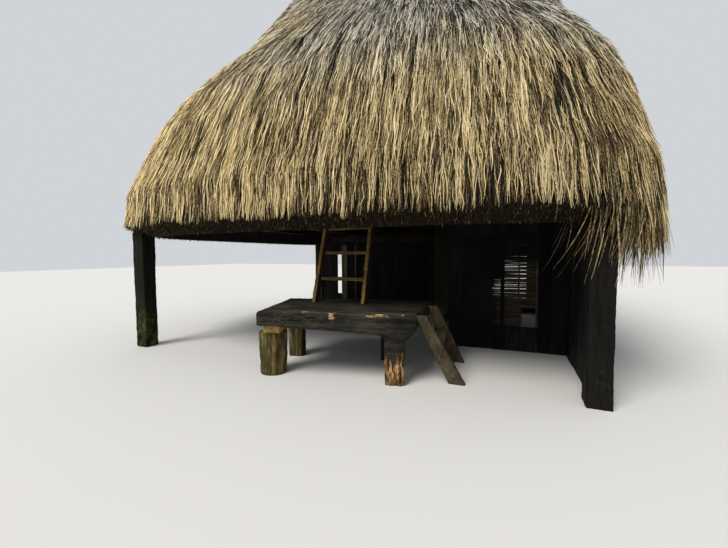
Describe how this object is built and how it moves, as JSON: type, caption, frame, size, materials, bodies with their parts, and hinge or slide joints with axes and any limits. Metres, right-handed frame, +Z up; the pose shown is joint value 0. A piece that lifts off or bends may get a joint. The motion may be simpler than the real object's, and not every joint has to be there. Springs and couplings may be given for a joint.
{
  "type": "thatched tribal hut",
  "caption": "Open thatched hut with a deep bell-shaped grass roof on squared posts, board walls, a raised loft, a carved bench platform and a loft ladder.",
  "frame": {"origin": "on the ground at the centre of the eave outline", "axes": "+Z up, +X to the right along the front, +Y from front to back"},
  "size_m": [7.0686, 6.4599, 7.23],
  "materials": {
    "bamboo": "split bamboo",
    "bench_wood": "weathered adzed hardwood",
    "deck_boards": "smoke black boards",
    "frame_timber": "dark squared timber",
    "ladder_wood": "worn warm timber",
    "post_wood": "dark squared timber with moss at the foot",
    "roof_poles": "smoke darkened poles",
    "shim_wood": "fresh cut board",
    "stair_wood": "weathered grey board",
    "stump_wood": "mossy log",
    "thatch": "dry grass thatch, weathered",
    "wall_boards": "smoke black boards"
  },
  "bodies": {
    "root": {"back_wall": "wall_boards", "back_wall_studs": "wall_boards", "bench_back_block": "stump_wood", "bench_platform": "bench_wood", "bench_stump": "stump_wood", "girder_back": "frame_timber", "girder_front": "frame_timber", "ladder_rail_left": "ladder_wood", "ladder_rail_right": "ladder_wood", "ladder_rungs": "ladder_wood", "loft_beams": "frame_timber", "loft_deck": "deck_boards", "loose_thatch": "thatch", "post_back_left": "post_wood", "post_back_right": "post_wood", "post_front_left": "post_wood", "post_front_right": "post_wood", "post_inner": "post_wood", "rafters_back": "roof_poles", "rafters_ends": "roof_poles", "rafters_front": "roof_poles", "ridge_beam": "roof_poles", "room_wall": "wall_boards", "side_beam_left": "frame_timber", "side_beam_right": "frame_timber", "side_wall_right": "wall_boards", "stair_stringer_back": "stair_wood", "stair_stringer_front": "stair_wood", "stair_tread": "stair_wood", "stump_shim": "shim_wood", "thatch_crown_back": "thatch", "thatch_crown_front": "thatch", "thatch_crown_left": "thatch", "thatch_crown_right": "thatch", "thatch_ridge_cap": "thatch", "thatch_skirt_back": "thatch", "thatch_skirt_front": "thatch", "thatch_skirt_left": "thatch", "thatch_skirt_right": "thatch", "window_mullion": "wall_boards", "window_shutter": "wall_boards", "window_slats": "bamboo"}
  },
  "joints": []
}
